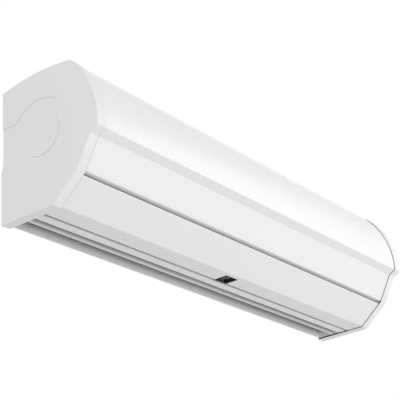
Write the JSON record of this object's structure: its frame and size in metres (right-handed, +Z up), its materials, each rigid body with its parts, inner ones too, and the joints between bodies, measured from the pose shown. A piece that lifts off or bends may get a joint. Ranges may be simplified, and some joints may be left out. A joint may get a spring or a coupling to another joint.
{
  "type": "air curtain",
  "caption": "Wall-hung air curtain: curved white casing between end caps, centre motor with cross-flow rotors, and linked outlet vanes set by a lever.",
  "frame": {"origin": "middle of the wall plate's rear face, on the wall", "axes": "+X along the unit to the right as seen from the room, +Y into the wall, +Z up"},
  "size_m": [0.9, 0.188, 0.2246],
  "materials": {
    "casing_white": "satin white powder coat",
    "cap_white": "fine satin moulded white",
    "rail_white": "glossy white",
    "groove_grey": "matte dark grey",
    "grille_white": "satin",
    "vane_white": "satin white powder coat",
    "zinc_sheet": "zinc plated sheet",
    "cast_alloy": "as cast",
    "motor_grey": "semi-gloss",
    "turned_steel": "turned",
    "plated_screw": "plated",
    "rotor_alloy": "mill finish",
    "black_rubber": "matte",
    "black_nylon": "matte",
    "lever_grey": "satin",
    "pocket_black": "matte",
    "capacitor_white": "satin",
    "terminal_cream": "satin",
    "cover_plastic": "satin",
    "brass": "turned",
    "wire_black": "satin"
  },
  "bodies": {
    "casing": {"wall_plate": "zinc_sheet", "rear_casing": "casing_white", "top_intake_grille": "grille_white", "top_front_rail": "rail_white", "upper_front_cover": "casing_white", "middle_front_panel": "casing_white", "groove_rail": "groove_grey", "lower_front_panel": "casing_white", "left_end_cap": "cap_white", "right_end_cap": "cap_white", "left_bulkhead": "casing_white", "right_bulkhead": "casing_white", "left_motor_plate": "zinc_sheet", "right_motor_plate": "zinc_sheet", "left_scroll": "zinc_sheet", "right_scroll": "zinc_sheet", "left_tongue": "zinc_sheet", "right_tongue": "zinc_sheet", "bay_baffle": "zinc_sheet", "motor_body": "motor_grey", "motor_cradle": "cast_alloy", "motor_rubber_rings": "black_rubber", "motor_straps": "zinc_sheet", "end_bearings": "turned_steel", "bearing_rubbers": "black_rubber", "left_bearing_housing": "cast_alloy", "right_bearing_housing": "cast_alloy", "vane_bushes": "black_nylon", "lever_pocket": "pocket_black", "capacitor": "capacitor_white", "capacitor_clip": "zinc_sheet", "terminal_block": "terminal_cream", "terminal_cover": "cover_plastic", "earth_stud": "brass", "motor_wires": "wire_black", "cable_grommet": "black_rubber", "cap_screws": "plated_screw", "frame_screws": "plated_screw", "motor_screws": "plated_screw", "housing_screws": "plated_screw", "lock_screws": "plated_screw"},
    "fan": {"motor_shaft": "turned_steel", "left_hub": "turned_steel", "right_hub": "turned_steel", "left_rotor": "rotor_alloy", "right_rotor": "rotor_alloy", "hub_set_screws": "plated_screw", "left_stub_shaft": "turned_steel", "right_stub_shaft": "turned_steel"},
    "front_vane": {"front_vane": "vane_white", "front_vane_pins": "turned_steel", "front_link_pin": "turned_steel", "louvre_lever": "lever_grey", "lever_screws": "plated_screw"},
    "rear_vane": {"rear_vane": "vane_white", "rear_vane_pins": "turned_steel", "rear_link_pin": "turned_steel"},
    "vane_link": {"vane_link": "zinc_sheet"}
  },
  "joints": [
    {"name": "fan_spin", "type": "hinge", "parent": "casing", "child": "fan", "pos_m": [0, -0.084, -0.017], "axis": [1, 0, 0], "continuous": true},
    {"name": "front_vane_tilt", "type": "hinge", "parent": "casing", "child": "front_vane", "pos_m": [0, -0.055, -0.123], "axis": [1, 0, 0], "range_deg": [-12, 12]},
    {"name": "rear_vane_tilt", "type": "hinge", "parent": "casing", "child": "rear_vane", "pos_m": [0, -0.034, -0.123], "axis": [1, 0, 0], "range_deg": [-12, 12]},
    {"name": "link_pivot", "type": "hinge", "parent": "front_vane", "child": "vane_link", "pos_m": [-0.043, -0.055, -0.104], "axis": [1, 0, 0], "range_deg": [-12, 12]}
  ],
  "couplings": [
    {"joint": "rear_vane_tilt", "follows": "front_vane_tilt", "ratio": 1},
    {"joint": "link_pivot", "follows": "front_vane_tilt", "ratio": -1}
  ]
}
